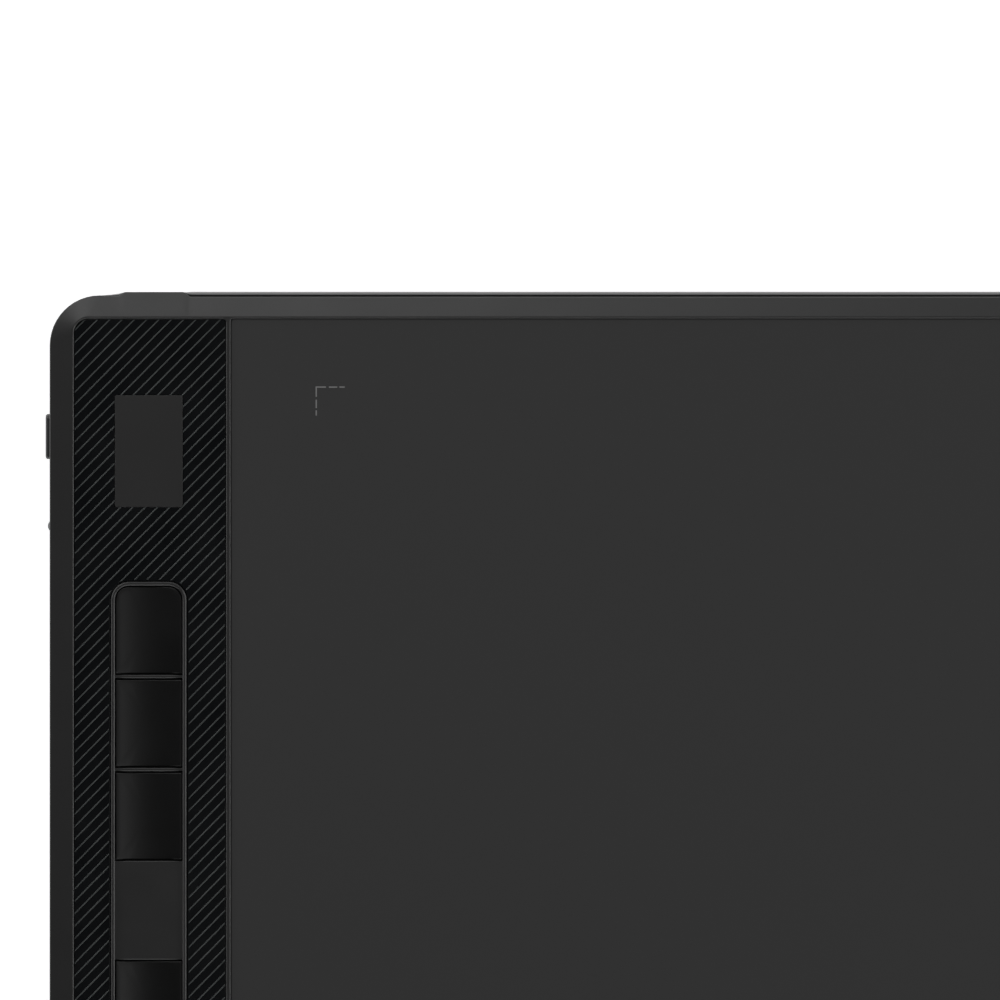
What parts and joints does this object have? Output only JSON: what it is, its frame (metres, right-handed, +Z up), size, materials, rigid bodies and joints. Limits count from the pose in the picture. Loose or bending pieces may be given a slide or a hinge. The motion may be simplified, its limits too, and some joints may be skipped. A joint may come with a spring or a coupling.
{
  "type": "graphics tablet",
  "caption": "Flat pen tablet with a wide matt drawing sheet, a ribbed strip with a small display window and a row of dished press keys, a power key and a port.",
  "frame": {"origin": "centre of the case's outline, on the desk plane under the rubber feet", "axes": "+X to the right along the long side, +Y to the rear edge with the port, +Z up from the desk"},
  "size_m": [0.421, 0.2559, 0.009],
  "materials": {
    "case_plastic": "finely textured dark grey moulding",
    "sheet_film": "matt dark grey film with a very fine grain",
    "strip_plastic": "black moulding with fine slanting ribs",
    "key_plastic": "smooth satin black moulding",
    "frame_plastic": "satin black moulding",
    "lens_plastic": "dark tinted window",
    "button_plastic": "satin dark grey moulding",
    "light_pipe": "clear moulded plastic",
    "port_steel": "plain stamped steel",
    "port_tongue": "black moulded plastic",
    "foot_rubber": "matt black rubber",
    "screw_steel": "blackened steel",
    "board_green": "solder-masked laminate",
    "chip_black": "moulded black",
    "steel_can": "plain stamped steel",
    "switch_plastic": "moulded black",
    "plunger_plastic": "moulded pale grey",
    "cable_film": "amber film",
    "connector_plastic": "moulded cream",
    "shield_steel": "rolled sheet",
    "cell_foil": "laminated foil pouch",
    "tape": "double-sided tape",
    "lead_red": "soft insulation",
    "display_glass": "dark glass in a thin frame",
    "gasket_foam": "foam",
    "led_body": "moulded lamp body"
  },
  "bodies": {
    "case": {"battery": "cell_foil", "battery_lead": "lead_red", "battery_tape": "tape", "board_chips": "chip_black", "board_screws": "screw_steel", "bottom_cover": "case_plastic", "cable_connectors": "connector_plastic", "case_screws": "screw_steel", "display_flex": "cable_film", "display_gasket": "gasket_foam", "display_lens": "lens_plastic", "display_module": "display_glass", "drawing_sheet": "sheet_film", "key_board": "board_green", "key_flex": "cable_film", "key_frame": "frame_plastic", "key_switches": "switch_plastic", "main_board": "board_green", "power_switch": "switch_plastic", "radio_module": "steel_can", "rubber_foot_1": "foot_rubber", "rubber_foot_2": "foot_rubber", "rubber_foot_3": "foot_rubber", "rubber_foot_4": "foot_rubber", "sensor_board": "board_green", "sensor_flex": "cable_film", "shield_plate": "shield_steel", "status_led": "led_body", "status_light_pipe": "light_pipe", "striped_panel": "strip_plastic", "top_cover": "case_plastic", "usb_port_shell": "port_steel", "usb_port_tongue": "port_tongue"},
    "key_1": {"press_key_1": "key_plastic", "key_plunger_1": "plunger_plastic"},
    "key_2": {"press_key_2": "key_plastic", "key_plunger_2": "plunger_plastic"},
    "key_3": {"press_key_3": "key_plastic", "key_plunger_3": "plunger_plastic"},
    "key_4": {"press_key_4": "key_plastic", "key_plunger_4": "plunger_plastic"},
    "key_5": {"press_key_5": "key_plastic", "key_plunger_5": "plunger_plastic"},
    "key_6": {"press_key_6": "key_plastic", "key_plunger_6": "plunger_plastic"},
    "power_button": {"power_key": "button_plastic", "power_plunger": "plunger_plastic"}
  },
  "joints": [
    {"name": "key_1_press", "type": "slide", "parent": "case", "child": "key_1", "axis": [0, 0, -1], "range_m": [0, 0.0005], "stiffness_N_per_m": 900, "springref_m": -0.0006},
    {"name": "key_2_press", "type": "slide", "parent": "case", "child": "key_2", "axis": [0, 0, -1], "range_m": [0, 0.0005], "stiffness_N_per_m": 900, "springref_m": -0.0006},
    {"name": "key_3_press", "type": "slide", "parent": "case", "child": "key_3", "axis": [0, 0, -1], "range_m": [0, 0.0005], "stiffness_N_per_m": 900, "springref_m": -0.0006},
    {"name": "key_4_press", "type": "slide", "parent": "case", "child": "key_4", "axis": [0, 0, -1], "range_m": [0, 0.0005], "stiffness_N_per_m": 900, "springref_m": -0.0006},
    {"name": "key_5_press", "type": "slide", "parent": "case", "child": "key_5", "axis": [0, 0, -1], "range_m": [0, 0.0005], "stiffness_N_per_m": 900, "springref_m": -0.0006},
    {"name": "key_6_press", "type": "slide", "parent": "case", "child": "key_6", "axis": [0, 0, -1], "range_m": [0, 0.0005], "stiffness_N_per_m": 900, "springref_m": -0.0006},
    {"name": "power_press", "type": "slide", "parent": "case", "child": "power_button", "axis": [1, 0, 0], "range_m": [0, 0.0004], "stiffness_N_per_m": 1500, "springref_m": -0.0006}
  ]
}
